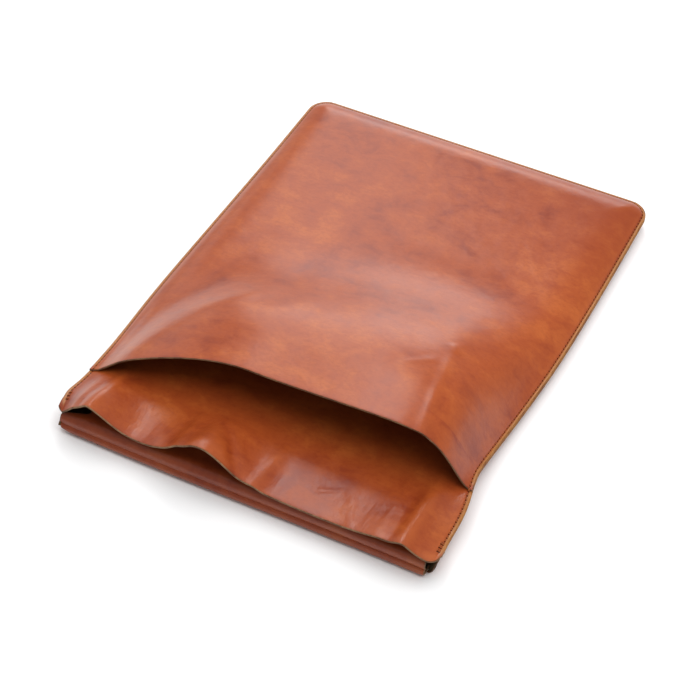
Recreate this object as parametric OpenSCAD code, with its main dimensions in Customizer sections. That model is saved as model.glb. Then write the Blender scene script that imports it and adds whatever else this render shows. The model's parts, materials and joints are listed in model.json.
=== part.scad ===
// Leather laptop sleeve lying on its back: three panels sewn together on three sides, with a
// laptop pocket between the back and middle panels, an accessory pocket between the middle and
// front panels, and a closing flap that folds up from the back panel and tucks into the laptop
// pocket. +Y points at the closed end, +Z up, and the origin is the centre of the underside.

/* [Leather] */
// Thickness of every leather panel
leather_t = 1.2; // [1:0.1:1.4]
// Diameter of the sewing thread
thread_d = 0.7; // [0.5:0.1:0.8]

/* [Sleeve] */
// Width across the sewn cut edges
sleeve_w = 242; // [236:1:256]
// Length from the mouth fold to the closed end
sleeve_l = 326; // [318:1:340]
// Radius of the two corners at the closed end
corner_r = 16; // [12:1:18]
// Radius of the two corners of the laptop pocket's mouth
mouth_r = 6; // [4:1:8]
// Height of the seam's cut edge over the table
seam_h = 6.2; // [5:0.2:7]
// Underside of the middle panel over the table
pocket_h = 15; // [14.6:0.2:17]
// Distance of the stitching from the cut edge
stitch_inset = 3; // [2.5:0.1:3.4]

/* [Accessory pocket] */
// Height of the pocket's mouth over the table, left of the middle
arch_left = 45.5; // [40:0.5:48]
// Height of the pocket's mouth over the table, on the right
arch_right = 49; // [44:0.5:52]
// How far back the mouth is cut at the left seam
mouth_back_left = 33; // [33:1:38]
// How far back the mouth is cut at the right seam
mouth_back_right = 50; // [46:1:54]
// Distance from the sleeve's mouth at which the bulge has died away
bulge_end = 196; // [188:1:206]

/* [Closing flap] */
// Height of the wall that the back panel folds up into
wall_h = 12; // [11:0.2:12.6]
// Distance that the wall stands out in front of the mouth fold
wall_out = 2.6; // [2:0.1:2.8]
// Length of the tongue that goes into the laptop pocket
tongue_l = 27; // [22:1:28]
// Half the width of the wall
wall_half = 113.5; // [105:0.5:114]
// Half the width of the tongue
tongue_half = 98; // [90:0.5:98.5]

/* [Mouth lips] */
// Half the width of the middle panel's lip
lip_half = 100; // [99:0.5:100.5]
// Distance of the middle lip's crease from the mouth
lip_crease = 34; // [33:0.5:34.5]
// Left side of the front panel's lip
front_lip_left = -70; // [-80:1:-60]
// Right side of the front panel's lip
front_lip_right = 88; // [80:1:92]
// Gap left between a lip and its panel
lip_gap = 1; // [0.8:0.1:1.4]

/* [Hidden] */

layer_gap = 0.25; // between two sewn layers
overhang = 3.5; // of the middle panel's mouth edge over the mouth fold
margin = 4; // flat width of the sewn stack
edge_fall = 9; // width over which a panel rises from the stack
curl_w = 12; // width of the back panel's curled edge
corner_y = 6; // where the laptop pocket's mouth corners end
front_y = sleeve_l / 2;

// A swell is [height, centre, spread before the centre, spread after it].
pull_left = [3.8, 36, 30, 48]; // the bulging pocket pulls the side seams in
pull_right = [6.3, 57, 32, 78];
lift_left = [3.6, 30, 34, 34]; // and lifts them
lift_right = [7.6, 50, 34, 34];
mouth_lift = [6.5, 0, 16, 16]; // the folded flap props up the mouth's corners
mouth_pull_left = [2.4, -4, 14, 14];
mouth_pull_right = [0.8, -4, 14, 14];
mouth_waves = [[13.3, -96, 15, 19], [16.7, -21.5, 20.5, 20.5], [3.7, 94, 18, 18]];
wave_l = 15.5; // how far back the waves in the middle panel's mouth edge reach
wave_end = 12;
lip_rise = 1.9; // rise of the middle lip from its crease
lip_rise_l = 12;
mouth_dip = 0.7;

// The accessory pocket's mouth climbs a left shoulder, rises slowly and drops on the right.
left_foot = 14; // height at the left seam
right_foot = 19;
shoulder_x = -20;
shoulder_w = 95;
slow_rise_w = 85;
drop_x = 60;
drop_w = 56;
mouth_cut_x = -118; // where the mouth's cut begins to run back, and over what width
mouth_cut_w = 98;
mouth_bow = 1.5;
mouth_bow_x = 20;
mouth_bow_w = 95;
// Distance from the sleeve's mouth at which each half of the bulge begins to fall
left_fall = 36;
right_fall = 106;
halves_x = -25; // the two halves of the bulge blend from here
halves_w = 35;

thread_clear = 0.1; // between a thread and the leather it lies on
mouth_clear = 5; // the thread climbs onto the front panel this far before it
bobbin_clear = 0.5;
fold_clear = 0.1; // beside each fold of the flap
tongue_drop = 0.7; // cut from the wall's inner edge
tongue_step = 2.2; // the tongue's rise, and where it begins and ends
step_start = 4;
step_end = 12;
step_lead = 0.6;
// Columns in from each side edge and rows in from the closed end share these distances.
insets = [0, margin, 8, 13];
end_rows = [16, 13, 8, 4, 1.5, 0];
body_rows = [60, 70, 80, 92, 104, 118, 134, 152, 172, bulge_end, 220, 244, 268, 292];
mouth_rows = [4, 9, 14, 20, 27, lip_crease, 40, 47, 53];
thread_start = 9;
front_rows = 3;
middle_cols = [for (k = [-8:8]) lip_half * k / 8];
front_lip_cols = 12;
front_cols = concat([-87], [for (k = [0:front_lip_cols]) front_lip_left
    + (front_lip_right - front_lip_left) * k / front_lip_cols], [98]);

function ramp(v) = let (c = min(max(v, 0), 1)) c * c * (3 - 2 * c);
function mix(a, b, k) = a + (b - a) * k;
function swell(v, s) = s[0] * exp(-pow((v - s[1]) / (v < s[1] ? s[2] : s[3]), 2));

// In these functions y runs from the mouth fold.
function half_w(x, y) = sleeve_w / 2 - swell(y, x < 0 ? pull_left : pull_right)
    - swell(y, x < 0 ? mouth_pull_left : mouth_pull_right);
function corner_cut(y) = let (over = max(y - (sleeve_l - corner_r), 0))
    corner_r - sqrt(max(corner_r * corner_r - over * over, 0));
// Distance in from the cut edge that runs round the three sewn sides
function inset(x, y) =
    let (across = abs(x) - half_w(x, y) + corner_r, along = y - sleeve_l + corner_r)
    corner_r - norm([max(across, 0), max(along, 0)]) - min(max(across, along), 0);
function seam_z(x, y) = seam_h + swell(y, mouth_lift) + swell(y, x < 0 ? lift_left : lift_right);
function rise(x, y) = ramp((inset(x, y) - margin) / edge_fall);

// Undersides of the three panels
function back_z(x, y) = seam_z(x, y) * pow(max(1 - inset(x, y) / curl_w, 0), 2);
function wave(x) = [for (w = mouth_waves) swell(x, w)] * [for (w = mouth_waves) 1];
function lip_z(x, y) = mix(pocket_h + lip_rise * ramp((lip_crease - y) / lip_rise_l),
                           pocket_h - mouth_dip + wave(x), ramp((wave_end - y) / wave_l));
function middle_z(x, y) = mix(seam_z(x, y) + leather_t + layer_gap, lip_z(x, y), rise(x, y));
function arch(x) = x < shoulder_x
    ? left_foot + (arch_left - left_foot) * pow(max(1 - pow((x - shoulder_x) / shoulder_w, 2), 0), 0.75)
    : mix(arch_left, arch_right, ramp((x - shoulder_x) / slow_rise_w)) - (arch_right - right_foot)
      * (1 - pow(max(1 - pow(max(x - drop_x, 0) / drop_w, 3.5), 0), 1.3));
function fallen(y, start) = 1 - ramp((y - start) / (bulge_end - start));
function bulge(x, y) = mix(fallen(y, left_fall), fallen(y, right_fall), ramp((x - halves_x) / halves_w));
function front_top(x, y) = let (flat_top = pocket_h + 2 * leather_t + layer_gap)
    flat_top + max(arch(x) - flat_top, 0) * bulge(x, y);
function front_z(x, y) = max(middle_z(x, y) + leather_t + layer_gap,
    mix(seam_z(x, y) + 2 * (leather_t + layer_gap), front_top(x, y) - leather_t,
        ramp((inset(x, y) - margin) / edge_fall)));

// Where each panel begins, behind the mouth fold
function corner_back(x, y) = let (in = min(inset(x, y), mouth_r))
    mouth_r - sqrt(max(mouth_r * mouth_r - pow(mouth_r - in, 2), 0));
function middle_start(x) = corner_back(x, corner_y) - overhang;
function back_start(x) = leather_t + fold_clear - wall_out + 0.6 * corner_back(x, corner_y);
function front_start(x) = mix(mouth_back_left, mouth_back_right - mouth_bow,
    ramp((x - mouth_cut_x) / mouth_cut_w)) + mouth_bow * ramp((x - mouth_bow_x) / mouth_bow_w);

// One row of grid points from the left cut edge to the right one
function row_x(cols, y) =
    let (left = half_w(-1, y) - corner_cut(y), right = half_w(1, y) - corner_cut(y),
         shrink = 1 - corner_cut(y) / sleeve_w * 2)
    concat([for (in = insets) in - left], [for (x = cols) x * shrink],
           [for (k = [len(insets) - 1:-1:0]) right - insets[k]]);
function level_rows(cols, ys) = [for (y = ys) [for (x = row_x(cols, y)) [x, y]]];
function panel_ys() = concat(body_rows, [for (e = end_rows) sleeve_l - e]);
function two_pocket_grid(start) = concat(
    [[for (x = row_x(middle_cols, 3)) [x, start(x)]]],
    level_rows(middle_cols, concat(mouth_rows, panel_ys())));
function front_grid() = concat(
    [for (r = [0:front_rows - 1]) [for (x = row_x(front_cols, 50))
        [x, mix(front_start(x), body_rows[0], r / front_rows)]]],
    level_rows(front_cols, panel_ys()));

// A sheet of leather over a grid of points, with its underside at height(x, y). Only the cells
// that kept(row, column) accepts are made, and open sides are closed with the cut edge.
module sheet(grid, height, kept = function(r, c) true) {
    rows = len(grid) - 1;
    cols = len(grid[0]) - 1;
    low = [for (line = grid) each [for (p = line) [p[0], p[1] - front_y, height(p[0], p[1])]]];
    high = [for (p = low) p + [0, 0, leather_t]];
    n = len(low);
    is_in = function(r, c) r >= 0 && r < rows && c >= 0 && c < cols && kept(r, c);
    edge = function(a, b, r, c) is_in(r, c) ? [] : [[a, a + n, b + n], [a, b + n, b]];
    faces = [for (r = [0:rows - 1]) each [for (c = [0:cols - 1]) if (kept(r, c))
        let (p = r * (cols + 1) + c, q = p + 1, s = q + cols + 1, t = s - 1)
        each concat([[p, q, s], [p, s, t], [p + n, s + n, q + n], [p + n, t + n, s + n]],
                    edge(p, q, r - 1, c), edge(q, s, r, c + 1),
                    edge(s, t, r + 1, c), edge(t, p, r, c - 1))]];
    polyhedron(points = concat(low, high), faces = faces);
}

// Four-sided cord along a path of points, lying in the seam
module cord(path) {
    last = len(path) - 1;
    half = thread_d / 2;
    ring = function(k) let (a = path[max(k - 1, 0)], b = path[min(k + 1, last)],
        d = [b[0] - a[0], b[1] - a[1]] / norm([b[0] - a[0], b[1] - a[1]]), s = [d[1], -d[0], 0] * half)
        [path[k] - s, path[k] + s, path[k] + s + [0, 0, thread_d], path[k] - s + [0, 0, thread_d]];
    points = [for (k = [0:last]) each ring(k)];
    sides = [for (k = [0:last - 1]) each [for (e = [0:3])
        let (a = 4 * k + e, b = 4 * k + (e + 1) % 4) each [[a, b, b + 4], [a, b + 4, a + 4]]]];
    polyhedron(points = points, faces = concat([[3, 2, 1], [3, 1, 0]],
        [[4 * last, 4 * last + 1, 4 * last + 2], [4 * last, 4 * last + 2, 4 * last + 3]], sides));
}

// The seam's path at a height given by z(x, y): up the left side, round the end and back
function side_ys() = concat([for (y = mouth_rows) if (y >= thread_start) y], panel_ys());
function straight(side, z) = [for (y = side_ys()) if (y <= sleeve_l - corner_r)
    let (x = side * (half_w(side, y) - stitch_inset)) [x, y - front_y, z(x, y)]];
function round_corner(side, z) = [for (a = [15:15:90])
    let (r = corner_r - stitch_inset, x = side * (sleeve_w / 2 - corner_r + r * cos(a)),
         y = sleeve_l - corner_r + r * sin(a)) [x, y - front_y, z(x, y)]];
function turned(path) = [for (k = [len(path) - 1:-1:0]) path[k]];
function seam_path(z) = concat(straight(-1, z), round_corner(-1, z),
                               turned(round_corner(1, z)), turned(straight(1, z)));
function on_top(x, y) = leather_t
    + (y > front_start(x) - mouth_clear ? front_z(x, y) + 3 * thread_clear : middle_z(x, y) + thread_clear);

module back_panel() {
    color("sienna") sheet(two_pocket_grid(function(x) back_start(x)),
                          function(x, y) back_z(x, y));
}

// The whole middle panel, apart from the lip at its mouth
module middle_panel() {
    lip_rows = search(lip_crease, mouth_rows)[0];
    color("peru") sheet(two_pocket_grid(function(x) middle_start(x)),
        function(x, y) middle_z(x, y),
        function(r, c) r > lip_rows || c < len(insets) || c >= len(insets) + len(middle_cols) - 1);
}

// The whole front panel, apart from the lip at its mouth
module front_panel() {
    lip_rows = front_rows + search(bulge_end, body_rows)[0];
    color("chocolate") sheet(front_grid(), function(x, y) front_z(x, y),
        function(r, c) r >= lip_rows || c <= len(insets) || c > len(insets) + front_lip_cols);
}

// Part of the flap: a section through it in y and z, round at the fold it turns on
module flap_part(half, fold_z, section) {
    color("saddlebrown") translate([-half, leather_t / 2 - wall_out - front_y, fold_z]) {
        rotate([0, 90, 0]) cylinder(d = leather_t, h = 2 * half, $fn = 48);
        rotate([90, 0, 90]) linear_extrude(2 * half) polygon(section);
    }
}

// The part of the back panel that stands up across the mouth. Its top slopes inward, clear of
// the tongue when that turns down.
module flap_wall() {
    half_t = leather_t / 2;
    top = wall_h - 1.5 * leather_t - fold_clear;
    flap_part(wall_half, half_t, [[-half_t, 0], [half_t, 0], [half_t, top - tongue_drop],
                                  [0, top - fold_clear], [-half_t, top]]);
}

// The end of the flap, rising a little over the laptop
module flap_tongue() {
    low = -leather_t / 2;
    high = leather_t / 2;
    flap_part(tongue_half, wall_h - leather_t / 2,
        [[0, low], [step_start, low], [step_end, low + tongue_step], [tongue_l, low + tongue_step],
         [tongue_l, high + tongue_step], [step_end - step_lead, high + tongue_step],
         [step_start - step_lead, high], [0, high]]);
}

module middle_lip() {
    half = lip_half - lip_gap / 2;
    rows = 7;
    cols = 20;
    grid = [for (r = [0:rows]) [for (k = [-cols:cols]) let (x = half * k / cols)
        [x, mix(middle_start(x), lip_crease - lip_gap, r / rows)]]];
    color("peru") sheet(grid, function(x, y) lip_z(x, y));
}

module front_lip() {
    left = front_lip_left + lip_gap / 2;
    right = front_lip_right - lip_gap / 2;
    cols = 16;
    rows = 12;
    grid = [for (r = [0:rows]) [for (k = [0:cols]) let (x = mix(left, right, k / cols))
        [x, mix(front_start(x), bulge_end - lip_gap, r / rows)]]];
    color("chocolate") sheet(grid, function(x, y) front_z(x, y));
}

module needle_thread() {
    color("maroon") cord(seam_path(function(x, y) on_top(x, y)));
}

module bobbin_thread() {
    color("maroon") cord(seam_path(function(x, y) back_z(x, y) - thread_d - bobbin_clear));
}

back_panel();
middle_panel();
front_panel();
flap_wall();
flap_tongue();
middle_lip();
front_lip();
needle_thread();
bobbin_thread();
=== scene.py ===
"""Looks of the leather laptop sleeve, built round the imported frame.

The three panels are sheets of leather with real thickness, an outer face, a suede back and a
rounded cut edge. The seam is made of single stitches. Shapes are worked out in millimetres,
with y counted from the mouth fold, and turned into the frame's metres when a mesh is made.
"""

import json
import math

import bpy
import numpy as np
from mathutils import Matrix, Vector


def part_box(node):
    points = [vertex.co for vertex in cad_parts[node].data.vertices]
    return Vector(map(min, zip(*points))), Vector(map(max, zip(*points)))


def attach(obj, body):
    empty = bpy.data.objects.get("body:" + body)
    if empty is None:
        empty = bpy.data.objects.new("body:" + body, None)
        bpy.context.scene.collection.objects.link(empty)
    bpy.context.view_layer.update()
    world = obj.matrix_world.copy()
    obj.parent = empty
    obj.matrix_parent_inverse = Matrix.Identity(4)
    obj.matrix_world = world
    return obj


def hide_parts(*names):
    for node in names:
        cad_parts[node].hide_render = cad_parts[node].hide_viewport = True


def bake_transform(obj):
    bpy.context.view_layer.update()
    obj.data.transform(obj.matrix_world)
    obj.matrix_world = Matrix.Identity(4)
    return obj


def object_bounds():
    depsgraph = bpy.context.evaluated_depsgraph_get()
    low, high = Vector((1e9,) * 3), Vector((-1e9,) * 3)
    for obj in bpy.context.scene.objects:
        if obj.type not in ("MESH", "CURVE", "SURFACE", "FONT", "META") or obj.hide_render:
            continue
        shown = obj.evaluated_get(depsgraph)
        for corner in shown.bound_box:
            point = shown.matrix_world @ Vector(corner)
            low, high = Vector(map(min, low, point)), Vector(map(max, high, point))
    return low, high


MM = 0.001
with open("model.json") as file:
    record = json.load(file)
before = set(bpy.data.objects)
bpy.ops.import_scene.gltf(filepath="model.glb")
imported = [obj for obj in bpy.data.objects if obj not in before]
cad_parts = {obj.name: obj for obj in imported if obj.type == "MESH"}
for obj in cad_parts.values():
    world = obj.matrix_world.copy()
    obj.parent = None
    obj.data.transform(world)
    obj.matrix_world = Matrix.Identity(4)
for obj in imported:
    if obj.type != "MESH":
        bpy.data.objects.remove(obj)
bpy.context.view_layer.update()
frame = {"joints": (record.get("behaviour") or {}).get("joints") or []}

# ---------------------------------------------------------------- sizes, from the frame


def box_mm(node):
    low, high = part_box(node)
    return np.array(low) / MM, np.array(high) / MM


PANEL_LOW, PANEL_HIGH = box_mm("middle_panel")
_, WALL_HIGH = box_mm("flap_wall")
_, TONGUE_HIGH = box_mm("flap_tongue")
FRONT_Y = PANEL_HIGH[1]  # the frame's y is y from the mouth fold, less this
WIDTH = PANEL_HIGH[0] - PANEL_LOW[0]
LENGTH = 2 * FRONT_Y
LIP_OVERHANG = 0.9
MOUTH_OUT = -PANEL_LOW[1] - FRONT_Y + LIP_OVERHANG  # how far the middle panel's mouth stands out
FLOOR_START = 4.0  # where the back panel begins to turn up into the flap
WALL_HALF = WALL_HIGH[0]
TONGUE_HALF = TONGUE_HIGH[0]
TONGUE_END = TONGUE_HIGH[1] + FRONT_Y
JOINT = {j["name"]: j for j in frame["joints"]}
BULGE_END = JOINT["pocket_mouth"]["pos_m"][1] / MM + FRONT_Y

LEATHER = 1.15  # thickness of a sheet
PITCH = 1.22  # from one sewn layer to the next
CORNER_R = 13.5
MOUTH_R = 7.0
MOUTH_TURN = 6.0  # width over which a panel's mouth corner is rounded
SEAM_H = 6.2  # underside of the stack at the cut edge
POCKET_H = 15.0  # underside of the middle panel
CURL = 10.0  # width of the back panel's curled edge
MARGIN = 1.7  # flat width of the sewn stack
ROLL = 36.0  # width over which a panel rolls down to the seam
STITCH_IN = 2.2
STITCH_PITCH = 3.0
SEAM_START = 3.8
BACKSTITCHES = 3
BACKSTITCH_IN = 1.0  # how far they lie beside the first stitches
THREAD_R = 0.58
STITCH_RING = 8  # points round a stitch
STITCH_RINGS = 9  # rings along it
FLAP_BOW = 2.6  # how far the flap's roll stands out at its left end

# ---------------------------------------------------------------- shape rules


def ramp(v):
    """0 up to 0, 1 from 1 on, and smooth between."""
    c = np.clip(v, 0, 1)
    return c * c * (3 - 2 * c)


def mix(a, b, k):
    return a + (b - a) * k


def bump(v, centre, before, after=None):
    """A bell curve: 1 at centre, as wide as before on its near side and after on its far side."""
    width = np.where(v < centre, before, before if after is None else after)
    return np.exp(-(((v - centre) / width) ** 2))


def crease(x, y, start, end, width, height):
    """A ridge along a line, or a groove if height is negative, that dies away at both ends."""
    (x0, y0), (x1, y1) = start, end
    dx, dy = x1 - x0, y1 - y0
    run = math.hypot(dx, dy)
    t = ((x - x0) * dx + (y - y0) * dy) / run**2
    off = ((x - x0) * dy - (y - y0) * dx) / run
    return height * np.exp(-((off / width) ** 2)) * ramp((t + 0.1) / 0.35) * ramp((1.1 - t) / 0.45)


def half_width(x, y):
    """Half width at y. Each side is drawn in where what the pockets hold lifts the panels."""
    pull_left = 3.8 * bump(y, 36, 30, 48) + 7.2 * bump(y, -5, 12)
    pull_right = 6.9 * bump(y, 70, 28, 72) + 1.8 * bump(y, 18, 17)
    return WIDTH / 2 - np.where(x < 0, pull_left, pull_right)


def corner_cut(y):
    """How far the round corners of the closed end cut in at y."""
    over = np.maximum(y - (LENGTH - CORNER_R), 0)
    return CORNER_R - np.sqrt(np.maximum(CORNER_R**2 - over**2, 0))


def inset(x, y):
    """Distance in from the cut edge that runs round the three sewn sides."""
    across = np.abs(x) - half_width(x, y) + CORNER_R
    along = y - LENGTH + CORNER_R
    outside = np.hypot(np.maximum(across, 0), np.maximum(along, 0))
    return CORNER_R - outside - np.minimum(np.maximum(across, along), 0)


def seam_z(x, y):
    """Height of the seam: it climbs to the mouth's corners and beside the accessory pocket."""
    lift = np.where(x < 0, 3.6 * bump(y, 30, 34), 7.6 * bump(y, 50, 34))
    return SEAM_H + 6.5 * bump(y, 0, 16) + 2.0 * bump(y, LENGTH, 50) + lift


def rise(x, y):
    """0 on the sewn stack and 1 on the panel, with the full, round shoulder of padded leather."""
    t = np.clip((inset(x, y) - MARGIN) / ROLL, 0, 1)
    return 1 - (1 - t) ** 4


def seam_dent(x, y):
    """The thread pulls a shallow channel into the leather."""
    return -0.28 * bump(inset(x, y), STITCH_IN, 0.75)


def back_mid(x, y):
    """The back panel lies flat, curls up to the seams, and comes down again past their ends."""
    curl = np.clip(1 - (inset(x, y) - MARGIN) / CURL, 0, 1) ** 2
    spread_out = ramp((y + 4) / mix(9, 15, ramp((inset(x, y) - 2) / 4)))
    return seam_z(x, y) * curl * spread_out + LEATHER / 2 - seam_dent(x, y)


def mouth_wave(x):
    """Height of the middle panel's wavy mouth edge over its flat run."""
    return (
        13.3 * bump(x, -96, 15, 19)
        + 16.9 * bump(x, -21.5, 20.5)
        + 3.9 * bump(x, 94, 18)
        - 0.5 * bump(x, 46, 20)
    )


# Start, end, half width and height of each ridge or groove in the middle panel
MIDDLE_CREASES = [
    ((-93, -22), (-94.5, 44), 3.2, 1.0),
    ((-99.5, -22), (-100, 38), 3.0, -0.9),
    ((-106, -22), (-103, 34), 3.6, 0.8),
    ((-37, -20), (-38.5, 36), 3.6, 0.7),
    ((-30.5, -20), (-31, 24), 3.0, -0.4),
    ((2, -6), (-24, 28), 3.4, -0.9),
    ((10, -14), (12, 30), 4.6, 1.3),
    ((101, -22), (98.5, 58), 5.6, 2.6),
    ((92, -16), (90, 40), 4.0, -0.7),
    ((70, -6), (58, 24), 2.6, 0.35),
    ((40, 12), (57, 20), 1.3, -0.3),
]


def middle_flat(x, y):
    """The middle panel away from its seams: level inside, with its mouth in folds."""
    y_in = np.maximum(y, -MOUTH_OUT)
    flat = POCKET_H - 0.7 * ramp((60 - y_in) / 40) + 0.9 * ramp((16 - y_in) / 20)
    folds = mouth_wave(x) * mix(1.0, 0.0, ramp((y_in + 6) / 58)) ** 1.15
    lines = sum(crease(x, y_in, *line) for line in MIDDLE_CREASES)
    return flat + folds + lines


def middle_mid(x, y):
    low = mix(seam_z(x, y) + PITCH, middle_flat(x, y), rise(x, y))
    return low + LEATHER / 2 + seam_dent(x, y)


def mouth_arch(x):
    """Height of the accessory pocket's mouth: a left shoulder, a flat top and a steep right side."""
    left = 14 + 31.5 * np.maximum(1 - ((x + 20) / 95) ** 2, 0) ** 0.75
    top = mix(45.5, 49.0, ramp((x + 20) / 85))
    drop = 30 * (1 - np.maximum(1 - (np.maximum(x - 60, 0) / 56) ** 3.5, 0) ** 1.3)
    return np.where(x < -20, left, top - drop)


def bulge(x, y):
    """How much of the mouth's arch is left at y. It falls sooner towards the left seam."""
    sooner = 0.02 * np.maximum(-50 - x, 0) ** 2
    left = bump(np.maximum(y + np.minimum(sooner, 60), 78), 78, 62)
    right = 1 - ramp((y - 78) / (BULGE_END + 22 - 78))
    return mix(left, right, ramp((x + 60) / 90))


# Start, end, half width and height of each ridge or groove in the front panel
FRONT_CREASES = [
    ((87, 36), (72, 124), 3.4, 0.8),
    ((69, 127), (75, 119), 2.8, 0.55),
    ((50, 88), (70, 108), 2.6, 0.18),
    ((-78, 82), (-40, 128), 7.0, 0.5),
]


def front_mid(x, y):
    """The front panel: the mouth's arch dies away to the flat, and it stays over the middle panel.
    tuck moves the arch's right side inwards behind the mouth."""
    flat = POCKET_H + 2 * PITCH + 0.3
    tuck = 13 * ramp((y - 58) / 66) * ramp((x - 15) / 50) * ramp((116 - x) / 48)
    top = flat + np.maximum(mouth_arch(x + tuck) - flat, 0) * bulge(x, y)
    top = top + sum(crease(x, y, *line) for line in FRONT_CREASES)
    sewn = seam_z(x, y) + 2 * PITCH + LEATHER
    z = mix(sewn, top, rise(x, y)) - LEATHER / 2
    over = np.maximum(middle_mid(x, y) - seam_dent(x, y) + PITCH, z)
    return over + seam_dent(x, y)


def corner_back(x, y):
    """How far back the edge of a mouth starts where its corner is rounded."""
    d = np.minimum(inset(x, y), MOUTH_R)
    return MOUTH_R - np.sqrt(np.maximum(MOUTH_R**2 - (MOUTH_R - d) ** 2, 0))


def front_start(x):
    """The accessory pocket's mouth, further back at the right seam than at the left one."""
    return mix(33, 48.5, ramp((x + 118) / 98)) + 1.5 * ramp((x - 20) / 95)


# ---------------------------------------------------------------- sheets of leather


def spread(total, edge_steps, step):
    """Distances from 0 to total, close together at both ends and about step apart between."""
    near = np.cumsum([0] + edge_steps)
    count = max(int(round((total - 2 * near[-1]) / step)), 2)
    middle = np.linspace(near[-1], total - near[-1], count + 1)
    return np.concatenate([near[:-1], middle, total - near[::-1][1:]])


def grid_normals(p):
    """Unit normals of a grid of points, rows by columns."""
    across = np.gradient(p, axis=1)
    along = np.gradient(p, axis=0)
    n = np.cross(across, along)
    return n / np.maximum(np.linalg.norm(n, axis=2, keepdims=True), 1e-9)


def open_edges(quads):
    """The edges that belong to one face only."""
    edges = np.concatenate([quads[:, [k, (k + 1) % 4]] for k in range(4)])
    key = np.sort(edges, 1)
    _, first, count = np.unique(key, axis=0, return_index=True, return_counts=True)
    return edges[first[count == 1]]


def outward(point, up, rim):
    """Unit directions out of the sheet's border, square to its normals; zero inside."""
    out = np.zeros_like(point)
    for a, b in rim:
        d = point[b] - point[a]
        for v in (a, b):
            o = np.cross(d, up[v])
            out[v] += o / max(np.linalg.norm(o), 1e-9)
    out -= up * (out * up).sum(1, keepdims=True)
    return out / np.maximum(np.linalg.norm(out, axis=1, keepdims=True), 1e-9)


def sheet(name, grid, keep, materials, normal, split_row=None, round_r=0.45):
    """A closed sheet LEATHER thick about a grid of points in mm. keep says which cells exist.

    normal points out of the leather's face at each grid point. The cut edge is rounded, except
    along split_row, where the same sheet goes on as another piece.
    Materials are the outer face's, the suede's and the cut edge's.
    """
    rows, cols = grid.shape[:2]
    point = grid.reshape(-1, 3)
    up = normal.reshape(-1, 3)
    index = np.arange(rows * cols).reshape(rows, cols)
    quads = np.stack([index[:-1, :-1], index[:-1, 1:], index[1:, 1:], index[1:, :-1]], -1)[keep]
    if (normal * grid_normals(grid)).sum() < 0:
        quads = quads[:, ::-1]
    used = np.unique(quads)
    remap = np.full(len(point), -1)
    remap[used] = np.arange(len(used))
    quads = remap[quads]
    point, up = point[used], up[used]
    row_of = (used // cols).astype(int)

    rim = open_edges(quads)
    out = outward(point, up, rim)
    on_split = np.zeros(len(point), bool) if split_row is None else row_of == split_row
    border = np.unique(rim)
    is_border = np.zeros(len(point), bool)
    is_border[border] = True
    r = np.where(on_split, 0.0, round_r)[:, None]
    half = LEATHER / 2
    profile = [(math.radians(a), s) for s, a in
               [(1, 90), (1, 45), (1, 0), (-1, 0), (-1, -45), (-1, -90)]]

    def ring(a, s):
        return point + out * (r * math.cos(a) - r) + up * (s * (half - r) + r * math.sin(a))

    rings = [ring(a, s) for a, s in profile]
    top = np.where(is_border[:, None], rings[0], point + up * half)
    bottom = np.where(is_border[:, None], rings[-1], point - up * half)
    n = len(point)
    slot = np.full(n, -1)
    slot[border] = np.arange(len(border))
    verts = [top, bottom] + [g[border] for g in rings[1:-1]]
    offset = [0, n] + [2 * n + k * len(border) for k in range(len(rings) - 2)]
    order = [0] + offset[2:] + [n]

    def on_ring(k, v):
        return order[k] + (v if k in (0, len(order) - 1) else slot[v])

    faces = [quads, quads[:, ::-1] + n]
    which = [np.zeros(len(quads), int), np.ones(len(quads), int)]
    for k in range(len(order) - 1):
        a, b = rim[:, 0], rim[:, 1]
        faces.append(np.stack([on_ring(k, b), on_ring(k, a),
                               on_ring(k + 1, a), on_ring(k + 1, b)], 1))
        which.append(np.full(len(rim), 2))
    verts = np.concatenate(verts)
    faces = np.concatenate(faces)
    mesh = bpy.data.meshes.new(name)
    world = (verts - [0, FRONT_Y, 0]) * MM
    mesh.from_pydata(world.tolist(), [], faces.tolist())
    mesh.polygons.foreach_set("material_index", np.concatenate(which).astype(np.int32))
    mesh.polygons.foreach_set("use_smooth", np.ones(len(faces), bool))
    for m in materials:
        mesh.materials.append(m)
    if split_row is not None:
        where = np.concatenate([on_split, on_split] + [on_split[border]] * (len(rings) - 2))
        ends = np.zeros(len(mesh.edges) * 2, np.int32)
        mesh.edges.foreach_get("vertices", ends)
        ends = ends.reshape(-1, 2)
        sharp = where[ends].all(1)
        mark = mesh.attributes.new("sharp_edge", "BOOLEAN", "EDGE")
        mark.data.foreach_set("value", sharp)
    obj = bpy.data.objects.new(name, mesh)
    bpy.context.scene.collection.objects.link(obj)
    source = np.concatenate([np.arange(n), np.arange(n)] + [border] * (len(rings) - 2))
    keep_attribute(obj, "rest_mm", verts)
    return obj, used[source]


def keep_attribute(obj, name, values):
    """Stores a number or a vector for each vertex, for the materials to read."""
    values = np.asarray(values, np.float32)
    kind = "FLOAT_VECTOR" if values.ndim == 2 else "FLOAT"
    data = obj.data.attributes.new(name, kind, "POINT").data
    data.foreach_set("vector" if values.ndim == 2 else "value", values.ravel())


def bend_with(obj):
    """Bakes obj's placement into its mesh."""
    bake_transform(obj)


EDGE_STEPS = [0.5, 0.6, 0.7, 0.7, 0.5, 0.5, 0.6, 0.8, 1.0]  # spacing of a grid in from an edge
BACK_COLUMNS = 112


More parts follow.
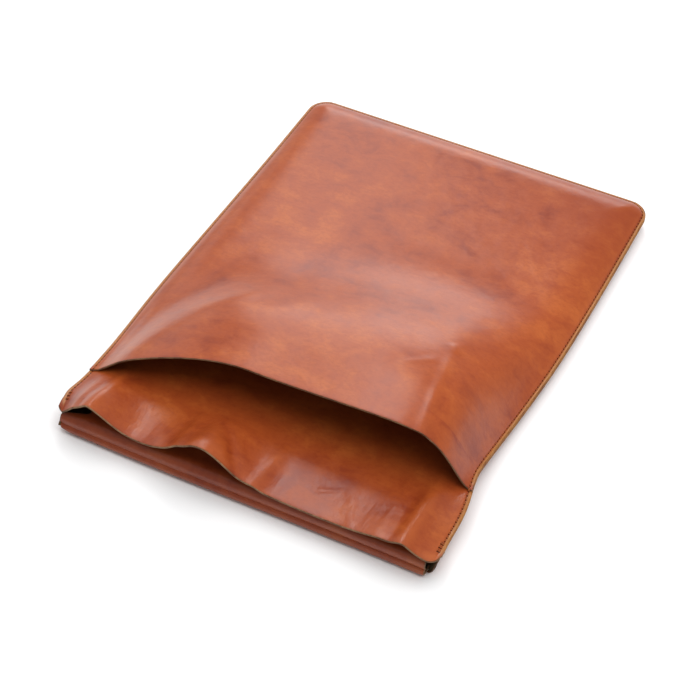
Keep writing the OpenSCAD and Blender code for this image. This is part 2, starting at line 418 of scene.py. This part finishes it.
def rows_of_x(y, inner_half, step):
    """x positions across the sleeve at each y: fixed insets at both edges, even steps between."""
    left = half_width(-1, y) - corner_cut(y)
    right = half_width(1, y) - corner_cut(y)
    side = np.cumsum([0] + EDGE_STEPS + [1.2] * 5)
    count = int(round(2 * inner_half / step))
    k = np.linspace(0, 1, count + 1)[None, :]
    a = -left[:, None] + side[-1]
    b = right[:, None] - side[-1]
    return np.concatenate([-left[:, None] + side[None, :-1], a + (b - a) * k,
                           right[:, None] - side[None, ::-1][:, 1:]], 1)


def far_rows(start, step):
    """y from start to the closed end, closer together round the end's corners."""
    ends = LENGTH - np.cumsum([0] + EDGE_STEPS + [1.2] * 8)[::-1]
    count = int(round((ends[0] - start) / step))
    return np.concatenate([np.linspace(start, ends[0], count + 1)[:-1], ends])


def leather_grid(first_y, near_rows, y_join, mid, step):
    """Grid of a top panel: its first row is first_y(x), and it is level from y_join on."""
    ys = far_rows(y_join, step)
    xs = rows_of_x(ys, WIDTH / 2, step)
    level = np.repeat(ys[:, None], xs.shape[1], 1)
    x0 = rows_of_x(np.array([(y_join + float(first_y(np.array(0.0)))) / 2]), WIDTH / 2, step)[0]
    t = spread(1.0, [0.5 / (y_join + 4), 0.8 / (y_join + 4)], 1.0 / near_rows)[:-1]
    x_near, y_near = [], []
    for k in t:
        y_row = mix(first_y(x0), y_join, k)
        left, right = x0[0], x0[-1]
        edge_l = -half_width(-1, y_row)
        edge_r = half_width(1, y_row)
        u = (x0 - left) / (right - left)
        x_row = x0 + (edge_l - left) * (1 - u) ** 6 + (edge_r - right) * u**6
        x_near.append(x_row)
        y_near.append(mix(first_y(x_row), y_join, k))
    x = np.concatenate([np.array(x_near), xs])
    y = np.concatenate([np.array(y_near), level])
    return np.stack([x, y, mid(x, y)], -1)


# ---------------------------------------------------------------- materials


class Nodes:
    """Builds a node material: each call adds one node, joined to the values or sockets given."""

    def __init__(self, name):
        self.material = bpy.data.materials.new(name)
        self.material.use_nodes = True
        self.tree = self.material.node_tree
        self.tree.nodes.clear()

    def set(self, socket, value):
        """Joins a socket to another one, or gives it a plain value."""
        if isinstance(value, bpy.types.NodeSocket):
            self.tree.links.new(value, socket)
        else:
            socket.default_value = value

    def add(self, kind, settings=None, **inputs):
        """Inputs go by their names, with _ for a space, or by number as i0, i1 and so on."""
        node = self.tree.nodes.new(kind)
        for key, value in (settings or {}).items():
            setattr(node, key, value)
        for key, value in inputs.items():
            numbered = key[0] == "i" and key[1:].isdigit()
            self.set(node.inputs[int(key[1:]) if numbered else key.replace("_", " ")], value)
        return node

    def math(self, op, a, b=0.0, clamp=False):
        return self.add("ShaderNodeMath", {"operation": op, "use_clamp": clamp}, i0=a, i1=b).outputs[0]

    def mixed(self, factor, a, b, blend="MIX"):
        node = self.add("ShaderNodeMix", {"data_type": "RGBA", "blend_type": blend})
        for number, value in ((0, factor), (6, a), (7, b)):
            self.set(node.inputs[number], value)
        return node.outputs[2]

    def noise(self, vector, scale, detail=4.0, rough=0.55, distortion=0.0):
        return self.add("ShaderNodeTexNoise", Vector=vector, Scale=scale, Detail=detail,
                        Roughness=rough, Distortion=distortion).outputs["Fac"]

    def curve(self, value, low, high, a=0.0, b=1.0):
        return self.add("ShaderNodeMapRange", {"interpolation_type": "SMOOTHSTEP"},
                        i0=value, i1=low, i2=high, i3=a, i4=b).outputs[0]

    def attribute(self, name, output="Fac"):
        return self.add("ShaderNodeAttribute", {"attribute_name": name}).outputs[output]

    def scaled(self, vector, x, y, z):
        return self.add("ShaderNodeVectorMath", {"operation": "MULTIPLY"},
                        i0=vector, i1=(x, y, z)).outputs[0]

    def finish(self, **inputs):
        shader = self.add("ShaderNodeBsdfPrincipled", **inputs)
        out = self.tree.nodes.new("ShaderNodeOutputMaterial")
        self.tree.links.new(shader.outputs[0], out.inputs[0])
        return self.material


def linear(r, g, b):
    """An sRGB colour in 0 to 255 as a linear colour."""
    c = np.array([r, g, b]) / 255
    c = np.where(c <= 0.04045, c / 12.92, ((c + 0.055) / 1.055) ** 2.4)
    return (*c.tolist(), 1.0)


TAN_LIGHT = linear(177, 89, 38)
TAN = linear(160, 72, 30)
TAN_DEEP = linear(131, 49, 22)
TAN_DARK = linear(92, 32, 20)
OCHRE = linear(166, 112, 52)
OCHRE_DARK = linear(120, 70, 30)


def leather_colour(n, at, patch, darkening_and_shade, worn):
    """Cloudy tan, darker towards the far right corner and where worn, ochre in the skived edge. The fourth
    argument darkens it: partly darker leather, partly painted shade. The lightening on convex bends is
    partly pull-up, partly painted sheen.
    """
    cloud = n.noise(at, 0.014, 4.0, 0.55, 0.3)
    fleck = n.noise(n.scaled(at, 1.0, 1.5, 1.0), 0.33, 5.0, 0.65)
    tone = n.math("ADD", n.math("MULTIPLY", cloud, 0.45), n.math("MULTIPLY", patch, 0.55))
    warm = n.mixed(n.curve(tone, 0.34, 0.52), TAN_DEEP, TAN)
    warm = n.mixed(n.curve(tone, 0.50, 0.66), warm, TAN_LIGHT)
    warm = n.mixed(n.math("MULTIPLY", n.curve(fleck, 0.42, 0.68), 0.3), warm, TAN_DEEP)
    # Darker towards the far right corner.
    across = n.add("ShaderNodeVectorMath", {"operation": "DOT_PRODUCT"}, i0=at, i1=(0.6, 0.8, 0))
    toward_far_right = n.curve(across.outputs["Value"], 230, 330)
    warm = n.mixed(n.math("MULTIPLY", toward_far_right, 0.6), warm, TAN_DEEP)
    # Painted shade, partly darker leather: redder and darker on the sheets that lie in shade.
    colour = n.mixed(0.55 * darkening_and_shade, warm, TAN_DARK)
    colour = n.mixed(n.math("MULTIPLY", worn, 0.2), colour, TAN_DARK)
    skived = n.math("MULTIPLY", n.curve(n.attribute("cut_mm"), 1.5, 2.1, 1.0, 0.0), n.attribute("sewn"))
    colour = n.mixed(n.math("MULTIPLY", skived, 0.7), colour, OCHRE)
    # Lighter on convex bends: partly the pull-up of stretched leather, partly a painted sheen.
    return n.mixed(n.math("MULTIPLY", n.attribute("bend"), 0.35, True), colour, TAN_LIGHT)


def leather_relief(n, at):
    """Fine pores and grain, and broad soft folds that are stronger near the mouth."""
    pores = n.add("ShaderNodeTexVoronoi", {"feature": "SMOOTH_F1"}, Vector=at, Scale=1.7).outputs["Distance"]
    grain = n.noise(at, 2.6, 5.0, 0.6)
    height = n.math("ADD", n.math("MULTIPLY", pores, 0.55), n.math("MULTIPLY", grain, 0.45))
    fine = n.add("ShaderNodeBump", Strength=0.4, Distance=0.0001, Height=height).outputs[0]
    handled = n.curve(n.add("ShaderNodeSeparateXYZ", i0=at).outputs[1], 10, 75, 1.0, 0.0)
    folds = n.noise(n.scaled(at, 1.0, 0.2, 1.0), 0.2, 4.0, 0.55)
    folds = n.math("MULTIPLY", folds, n.math("MULTIPLY", handled, 1.6))
    folds = n.math("ADD", n.noise(at, 0.11, 3.0, 0.5), folds)
    return n.add("ShaderNodeBump", Strength=0.4, Distance=0.0005, Height=folds, Normal=fine).outputs[0]


def leather_face(name, darkening_and_shade):
    """Glossy pull-up leather. The second argument, from 0 to 1, makes it redder and darker: partly darker
    leather, partly painted shade on the sheets that lie in shade.
    """
    n = Nodes(name)
    at = n.attribute("rest_mm", "Vector")
    patch = n.noise(n.scaled(at, 1.0, 1.35, 1.0), 0.055, 7.0, 0.66, 0.35)
    worn = n.curve(n.attribute("cut_mm"), 0.2, 2.2, 1.0, 0.0)
    colour = leather_colour(n, at, patch, darkening_and_shade, worn)
    relief = leather_relief(n, at)
    rough = n.math("ADD", n.math("MULTIPLY", patch, 0.14), 0.24)
    rough = n.math("ADD", rough, n.math("MULTIPLY", worn, 0.12))
    return n.finish(Base_Color=colour, Roughness=rough, Normal=relief, Specular_IOR_Level=0.4,
                    Coat_Weight=0.05, Coat_Roughness=0.2, Coat_Normal=relief)


def suede(name):
    """The dark olive brown flesh side, with a short nap."""
    n = Nodes(name)
    at = n.attribute("rest_mm", "Vector")
    nap = n.noise(at, 3.2, 6.0, 0.75)
    cloud = n.noise(at, 0.08, 4.0, 0.6)
    colour = n.mixed(n.curve(cloud, 0.35, 0.65), linear(62, 46, 30), linear(84, 66, 44))
    colour = n.mixed(n.math("MULTIPLY", n.curve(nap, 0.4, 0.7), 0.4), colour, linear(104, 84, 58))
    bumpy = n.add("ShaderNodeBump", Strength=0.7, Distance=0.00025, Height=nap).outputs[0]
    return n.finish(Base_Color=colour, Roughness=0.95, Normal=bumpy, Specular_IOR_Level=0.15,
                    Sheen_Weight=0.35, Sheen_Roughness=0.6, Sheen_Tint=linear(150, 128, 96))


def cut_edge(name):
    """The leather's cut edge: ochre fibres along the seam, and brown ones where it was burnished."""
    n = Nodes(name)
    at = n.attribute("rest_mm", "Vector")
    fibre = n.noise(n.scaled(at, 0.5, 0.5, 3.0), 1.6, 6.0, 0.7)
    worn = n.noise(at, 0.12, 4.0, 0.6)
    tone = n.curve(n.math("ADD", n.math("MULTIPLY", fibre, 0.5), n.math("MULTIPLY", worn, 0.5)), 0.38, 0.62)
    sewn = n.attribute("sewn")
    brown = n.mixed(tone, linear(88, 56, 36), linear(146, 112, 80))
    colour = n.mixed(sewn, brown, n.mixed(tone, OCHRE_DARK, OCHRE))
    bumpy = n.add("ShaderNodeBump", Strength=0.5, Distance=0.00015, Height=fibre).outputs[0]
    return n.finish(Base_Color=colour, Roughness=0.62, Normal=bumpy, Specular_IOR_Level=0.3)


def waxed_thread(name):
    """Dark red brown thread with the twist of its plies, and painted shade where it dips into its holes."""
    n = Nodes(name)
    at = n.attribute("along", "Vector")
    twist = n.add("ShaderNodeTexWave", {"wave_type": "BANDS", "bands_direction": "DIAGONAL"},
                  Vector=at, Scale=1.1, Distortion=0.4).outputs["Fac"]
    colour = n.mixed(twist, linear(136, 68, 34), linear(168, 94, 50))
    hole_shade = n.attribute("hole_shade")
    # Painted shade: the thread darkens towards its ends, where it dips into the holes.
    colour = n.mixed(hole_shade, colour, linear(74, 22, 9))
    bumpy = n.add("ShaderNodeBump", Strength=0.6, Distance=0.0001, Height=twist).outputs[0]
    return n.finish(Base_Color=colour, Roughness=0.7, Normal=bumpy, Specular_IOR_Level=0.2)


def pale_floor(name):
    """A pale floor. Far from the sleeve the camera sees it as bright as the backdrop."""
    n = Nodes(name)
    at = n.add("ShaderNodeTexCoord").outputs["Object"]
    tone = n.noise(at, 3.0, 2.0)
    colour = n.mixed(tone, linear(246, 246, 247), linear(250, 250, 250))
    distance = n.add("ShaderNodeVectorMath", {"operation": "LENGTH"}, i0=at).outputs["Value"]
    seen = n.add("ShaderNodeLightPath").outputs["Is Camera Ray"]
    glow = n.math("MULTIPLY", n.curve(distance, 0.5, 1.6), seen)
    return n.finish(Base_Color=colour, Roughness=0.75, Specular_IOR_Level=0.1,
                    Emission_Color=(1.0, 1.0, 1.0, 1.0), Emission_Strength=glow)


# ---------------------------------------------------------------- the pieces


def bend_amount(grid):
    """How sharply the sheet turns outward at each grid point, from 0 to 1. The material lightens there:
    partly the pull-up of stretched leather, partly a painted sheen.
    """
    z = grid[..., 2]
    curve = np.zeros_like(z)
    for axis in (0, 1):
        step = np.maximum(np.linalg.norm(np.gradient(grid, axis=axis)[..., :2], axis=-1), 0.3)
        curve -= np.gradient(np.gradient(z, axis=axis) / step, axis=axis) / step
    for _ in range(3):
        curve[1:-1, 1:-1] = (curve[1:-1, 1:-1] * 2 + curve[:-2, 1:-1] + curve[2:, 1:-1]
                             + curve[1:-1, :-2] + curve[1:-1, 2:]) / 6
    return np.clip(curve / 0.12, 0, 1)


def dress(obj, source, grid, mouth):
    """Gives a panel the values its material reads."""
    x, y = grid[..., 0].ravel()[source], grid[..., 1].ravel()[source]
    cut = np.minimum(inset(x, y), y - mouth(x))
    keep_attribute(obj, "cut_mm", np.maximum(cut, 0))
    keep_attribute(obj, "sewn", ramp((y - mouth(x) - 2) / 4))
    keep_attribute(obj, "bend", bend_amount(grid).ravel()[source])
    return x, y


def dress_plain(obj, rim, sewn):
    """Gives a smooth piece the values its material reads."""
    keep_attribute(obj, "cut_mm", np.maximum(rim, 0))
    keep_attribute(obj, "bend", np.zeros(len(rim)))
    keep_attribute(obj, "sewn", sewn)


def make_middle(face, back, edge):
    def start(x):
        return corner_back(x, MOUTH_TURN) - MOUTH_OUT

    grid = leather_grid(start, 34, 44.0, middle_mid, 1.7)
    keep = np.ones((grid.shape[0] - 1, grid.shape[1] - 1), bool)
    obj, source = sheet("middle_panel_leather", grid, keep, [face, back, edge], grid_normals(grid))
    x, y = dress(obj, source, grid, start)
    bend_with(obj)
    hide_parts("middle_panel", "middle_lip")


def make_front(face, back, edge):
    grid = leather_grid(front_start, 16, 66.0, front_mid, 1.7)
    keep = np.ones((grid.shape[0] - 1, grid.shape[1] - 1), bool)
    obj, source = sheet("front_panel_leather", grid, keep, [face, back, edge], grid_normals(grid))
    x, y = dress(obj, source, grid, front_start)
    bend_with(obj)
    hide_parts("front_panel", "front_lip")


def smooth_line(points, step):
    """Points step apart along a smooth line through the given ones."""
    p = np.array(points, float)
    ends = np.concatenate([[2 * p[0] - p[1]], p, [2 * p[-1] - p[-2]]])
    line = []
    for k in range(len(p) - 1):
        a, b, c, d = ends[k : k + 4]
        t = np.linspace(0, 1, 25)[:-1, None]
        line.append(0.5 * (2 * b + (c - a) * t + (2 * a - 5 * b + 4 * c - d) * t**2
                           + (3 * b - 3 * c + d - a) * t**3))
    line = np.concatenate([*line, p[-1:]])
    run = np.concatenate([[0], np.cumsum(np.linalg.norm(np.diff(line, axis=0), axis=1))])
    at = np.linspace(0, run[-1], int(round(run[-1] / step)) + 1)
    return np.stack([np.interp(at, run, line[:, k]) for k in range(p.shape[1])], 1)


def flap_profile():
    """The flap in the y, z plane: the lower roll, up to the crease, and the rest to the tongue's tip."""
    low = LEATHER / 2
    tongue_z = TONGUE_HIGH[2] - low
    lower = [(FLOOR_START, low), (0.4, low + 0.02), (-1.9, 1.0), (-3.0, 2.2), (-3.2, 3.4),
             (-2.7, 4.8), (-1.8, 5.8)]
    upper = [(-1.8, 5.8), (-2.1, 6.8), (-2.6, 8.3), (-2.2, 10.0), (-1.0, 11.4), (1.4, 12.3),
             (5.5, 12.8), (12.5, tongue_z), (TONGUE_END - 0.05, tongue_z)]
    lower, upper = smooth_line(lower, 0.6)[1:], smooth_line(upper, 0.75)
    return np.concatenate([lower, upper[1:]]), len(lower)


def flap_half(past_crease):
    """Half width of the flap, by rows past its crease: it narrows to the tongue."""
    return mix(WALL_HALF, TONGUE_HALF, ramp((np.asarray(past_crease) - 6) / 9))


def back_columns(ys, side):
    """x of each column of the back panel at each y: the flap's width at the fold, then wider."""
    u = np.linspace(-1, 1, BACK_COLUMNS + 1)
    xs = []
    for y in ys:
        left = half_width(-1, y) - corner_cut(y)
        right = half_width(1, y) - corner_cut(y)
        narrow = ramp((y - FLOOR_START) / 20)
        il, ir = mix(WALL_HALF, left - 9, narrow), mix(WALL_HALF, right - 9, narrow)
        inner = np.where(u < 0, u * il, u * ir)
        xs.append(np.concatenate([-left + side[:-1] * (left - il), inner,
                                  right - (side * (right - ir))[::-1][1:]]))
    return np.array(xs)


def flap_rows(profile, split, x_fold):
    """Rows of the flap along its profile, from the fold to the tongue's rounded tip."""
    tip_r = 7
    lift = back_mid(x_fold, np.full_like(x_fold, FLOOR_START)) - LEATHER / 2
    rows = []
    for k, (y, z) in enumerate(profile):
        tip = max(0.0, y - (TONGUE_END - tip_r))
        half = flap_half(k - split) - tip_r + math.sqrt(max(tip_r**2 - tip * tip, 0))
        x = x_fold / WALL_HALF * half
        fade = float(1 - ramp(k / split))
        forward = FLAP_BOW * (1 - ramp((x + 70) / 170)) * bump(z, 4, 4, 5) * (y < FLOOR_START)
        rows.append(np.stack([x, y - forward, z + lift * fade], -1))
    return np.array(rows)


def make_back(face, back, edge):
    """The back panel and the flap are one sheet, made as one grid and cut in two across the wall."""
    profile, split = flap_profile()
    length = len(profile)
    cut = length - split
    ys = np.concatenate([[FLOOR_START, FLOOR_START + 0.9], far_rows(6.0, 1.9)])
    side = np.cumsum([0] + EDGE_STEPS + [1.0] * 4)
    side = side / side[-1]
    side_n = len(side) - 1
    xs = back_columns(ys, side)
    cols = xs.shape[1]

    # Beside the flap, the panel's edge is cut back to a round corner
    corner_end = 14
    y_grid = np.repeat(ys[:, None], cols, 1)
    first = 0.3 + 0.85 * corner_back(xs, MOUTH_TURN)
    pulled = first + (y_grid - FLOOR_START) * (corner_end - first) / (corner_end - FLOOR_START)
    beside = np.ones(cols, bool)
    beside[side_n : cols - side_n] = False
    y_grid = np.where(beside & (y_grid < corner_end), pulled, y_grid)

    panel = np.stack([xs, y_grid, back_mid(xs, y_grid)], -1)
    grid = np.concatenate([flap_rows(profile, split, xs[0])[::-1], panel])
    keep = np.ones((len(grid) - 1, cols - 1), bool)
    keep[:length, :side_n] = keep[:length, cols - 1 - side_n :] = False
    normal = -grid_normals(grid)
    materials = [face, back, edge]

    obj, source = sheet("closing_flap_leather", grid[: cut + 1], keep[:cut], materials,
                        normal[: cut + 1], split_row=cut)
    row, x = source // cols, grid[..., 0].ravel()[source]
    rim = np.minimum(flap_half(cut - row) - np.abs(x), row * 0.75)
    dress_plain(obj, rim, np.zeros(len(row)))
    bend_with(obj)
    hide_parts("flap_tongue", "flap_wall")

    obj, source = sheet("back_panel_leather", grid[cut:], keep[cut:], materials,
                        normal[cut:], split_row=0)
    source = source + cut * cols
    row, x, y = source // cols, grid[..., 0].ravel()[source], grid[..., 1].ravel()[source]
    rim = np.where(row < length, 9, inset(x, y))
    dress_plain(obj, rim, ramp((row - length) / 4))
    bend_with(obj)
    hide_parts("back_panel")


def seam_line():
    """Points along the stitching, a pitch apart: up the left side, round the end, down the right."""
    y = np.linspace(SEAM_START, LENGTH - CORNER_R, 900)
    corner = np.radians(np.linspace(0, 90, 80))[1:]
    r = CORNER_R - STITCH_IN
    cx, cy = WIDTH / 2 - CORNER_R, LENGTH - CORNER_R
    left = np.stack([-(half_width(-1, y) - STITCH_IN), y], 1)
    turn_l = np.stack([-cx - r * np.cos(corner), cy + r * np.sin(corner)], 1)
    right = np.stack([half_width(1, y) - STITCH_IN, y], 1)
    turn_r = np.stack([cx + r * np.cos(corner), cy + r * np.sin(corner)], 1)
    path = np.concatenate([left, turn_l, turn_r[::-1], right[::-1]])
    run = np.concatenate([[0], np.cumsum(np.linalg.norm(np.diff(path, axis=0), axis=1))])
    count = int(round(run[-1] / STITCH_PITCH))
    at = np.linspace(0, run[-1], count + 1)
    return np.stack([np.interp(at, run, path[:, 0]), np.interp(at, run, path[:, 1])], 1)


def backstitches(holes):
    """A few stitches back alongside the first ones, at each end of the seam."""
    count = BACKSTITCHES + 1
    first, last = holes[:count], holes[-count:]
    inward = np.array([BACKSTITCH_IN, 0.0])
    return [first[::-1] + inward, last - inward]


def bead(a, b, slant, height, normal_sign):
    """One stitch from hole a to hole b: rings of points, and how deep in its hole each one is, which weights
    the painted hole shade.
    """
    ring = np.linspace(0, 2 * np.pi, STITCH_RING + 1)[:-1]
    d = (b - a) / np.linalg.norm(b - a)
    across = np.array([d[1], -d[0]])
    verts, along, hole_shade = [], [], []
    for t in np.linspace(0, 1, STITCH_RINGS):
        p = a + (b - a) * (0.06 + 0.88 * t) + across * slant * (t - 0.5) * 2
        arch = math.sin(math.pi * t)
        r = THREAD_R * (0.62 + 0.38 * arch**0.5)
        z = height(p[0], p[1]) + normal_sign * (0.42 * arch**0.6 - 0.30)
        for c in ring:
            off = across * (r * math.cos(c))
            verts.append((p[0] + off[0], p[1] + off[1], z + r * math.sin(c) * 0.85))
            along.append((t * 3.0, c / math.pi * 1.2))
            hole_shade.append(float(ramp((abs(t - 0.5) - 0.16) / 0.12)))
    return verts, along, hole_shade


def bead_faces(base):
    """Faces of one stitch whose points start at base: its sides and its two ends."""
    n = STITCH_RING
    faces = []
    for j in range(STITCH_RINGS - 1):
        for i in range(n):
            q, w = base + j * n + i, base + j * n + (i + 1) % n
            faces.append((q, w, w + n, q + n))
    last = base + (STITCH_RINGS - 1) * n
    faces.append(tuple(base + i for i in range(n))[::-1])
    faces.append(tuple(last + i for i in range(n)))
    return faces


def stitch_mesh(name, lines, height, normal_sign, material, node):
    """One thread's stitches along lines of holes: a rounded bead between each two, dipping in."""
    verts, faces, along, hole_shade = [], [], [], []
    rng = np.random.default_rng(7)
    pairs = [(a, b) for line in lines for a, b in zip(line, line[1:])]
    for k, (a, b) in enumerate(pairs):
        points, at, darkening_and_shade = bead(a, b, rng.uniform(-0.10, 0.10), height, normal_sign)
        faces += bead_faces(len(verts))
        verts += points
        along += [(*u, k * 0.37) for u in at]
        hole_shade += darkening_and_shade
    mesh = bpy.data.meshes.new(name)
    mesh.from_pydata(((np.array(verts) - [0, FRONT_Y, 0]) * MM).tolist(), [], faces)
    mesh.polygons.foreach_set("use_smooth", np.ones(len(faces), bool))
    mesh.materials.append(material)
    mesh.validate()
    obj = bpy.data.objects.new(name, mesh)
    bpy.context.scene.collection.objects.link(obj)
    keep_attribute(obj, "along", np.array(along))
    keep_attribute(obj, "hole_shade", np.array(hole_shade))
    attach(obj, "sleeve")
    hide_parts(node)


def make_threads(material):
    holes = seam_line()
    lines = [holes, *backstitches(holes)]

    def top(x, y):
        mid = front_mid(x, y) if y > front_start(x) else middle_mid(x, y)
        return float(mid + LEATHER / 2)

    def under(x, y):
        return float(back_mid(x, y) - LEATHER / 2)

    stitch_mesh("needle_stitches", lines, top, 1, material, "needle_thread")
    stitch_mesh("bobbin_stitches", lines, under, -1, material, "bobbin_thread")


# Darker, redder copies of the face go on the middle panel in the pocket and on the back panel with its flap:
# partly darker leather, partly painted shade.
face = leather_face("leather_face", 0.0)
face_darker_shaded = leather_face("leather_face_darker_shaded", 0.2)
suede_back = suede("suede_back")
leather_edge = cut_edge("leather_edge")
thread = waxed_thread("waxed_thread")
make_back(leather_face("leather_face_darkest_shaded", 0.65), suede_back, leather_edge)
make_middle(face_darker_shaded, suede_back, leather_edge)
make_front(face, suede_back, leather_edge)
make_threads(thread)

# ---------------------------------------------------------------- studio


# Name, place, target, size, power in W, and whether the leather mirrors it
LIGHTS = [
    ("back softbox", (-0.93, 1.75, 1.2), (-0.03, 0.05, 0), (0.54, 1.5), 6.5, True),
    ("mouth softbox", (-0.40, 0.76, 1.25), (0, -0.1, 0), (0.3, 0.22), 1.5, True),
    ("corner softbox", (-0.40, 0.97, 1.25), (0.1, -0.14, 0), (0.12, 0.26), 0.9, True),
    ("low strip", (-0.48, 1.85, 0.50), (0.05, 0.1, 0), (0.6, 0.3), 3.0, True),
    ("left softbox", (-1.15, 0.8, 0.60), (-0.08, -0.05, 0), (0.5, 0.5), 0.9, True),
    ("overhead", (0.4, 0.2, 2.2), (0, 0, 0), (2.4, 2.4), 54, False),
]
FLOOR_HALF = 6.0
FLOOR_GAP = 0.0001
AMBIENT = 0.38  # the backdrop's strength for everything but the camera

CAMERA_AZIMUTH, CAMERA_ELEVATION, CAMERA_ROLL = 25.35, 45.4, 2.0
CAMERA_DISTANCE = 1.0266
CAMERA_TARGET = (0.0029, -0.0335, 0.0)
CAMERA_LENS = 88.46


def area_light(name, place, target, size, power, glossy):
    data = bpy.data.lights.new(name, "AREA")
    data.shape = "RECTANGLE"
    data.size, data.size_y = size
    data.energy = power
    lamp = bpy.data.objects.new(name, data)
    bpy.context.scene.collection.objects.link(lamp)
    lamp.visible_glossy = glossy
    lamp.location = place
    away = Vector(place) - Vector(target)
    lamp.rotation_euler = away.to_track_quat("Z", "Y").to_euler()


def make_floor():
    h = FLOOR_HALF
    mesh = bpy.data.meshes.new("floor")
    mesh.from_pydata([(-h, -h, 0), (h, -h, 0), (h, h, 0), (-h, h, 0)], [], [(0, 1, 2, 3)])
    mesh.materials.append(pale_floor("pale_floor"))
    floor = bpy.data.objects.new("floor", mesh)
    bpy.context.scene.collection.objects.link(floor)
    floor.location.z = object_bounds()[0].z - FLOOR_GAP


def make_backdrop():
    """A white world for the camera, and a dimmer one for everything that it lights."""
    world = bpy.data.worlds.new("studio")
    bpy.context.scene.world = world
    world.use_nodes = True
    tree = world.node_tree
    sky = tree.nodes["Background"]
    sky.inputs[0].default_value = (1.0, 1.0, 1.0, 1)
    seen = tree.nodes.new("ShaderNodeLightPath")
    strength = tree.nodes.new("ShaderNodeMapRange")
    tree.links.new(seen.outputs["Is Camera Ray"], strength.inputs[0])
    strength.inputs[3].default_value = AMBIENT
    tree.links.new(strength.outputs[0], sky.inputs[1])


def make_studio():
    make_floor()
    make_backdrop()
    for light in LIGHTS:
        area_light(*light)
    bpy.context.scene.view_settings.view_transform = "Standard"


def make_camera():
    azimuth, elevation, roll = map(math.radians, (CAMERA_AZIMUTH, CAMERA_ELEVATION, CAMERA_ROLL))
    back = Vector((math.sin(azimuth) * math.cos(elevation),
                      -math.cos(azimuth) * math.cos(elevation), math.sin(elevation)))
    data = bpy.data.cameras.new("camera")
    data.sensor_width = 36.0
    data.lens = CAMERA_LENS
    camera = bpy.data.objects.new("camera", data)
    bpy.context.scene.collection.objects.link(camera)
    camera.location = Vector(CAMERA_TARGET) + back * CAMERA_DISTANCE
    turn = (-back).to_track_quat("-Z", "Y").to_matrix().to_4x4()
    camera.matrix_world = (Matrix.Translation(camera.location) @ turn
                           @ Matrix.Rotation(roll, 4, "Z"))
    bpy.context.scene.camera = camera


make_studio()
make_camera()
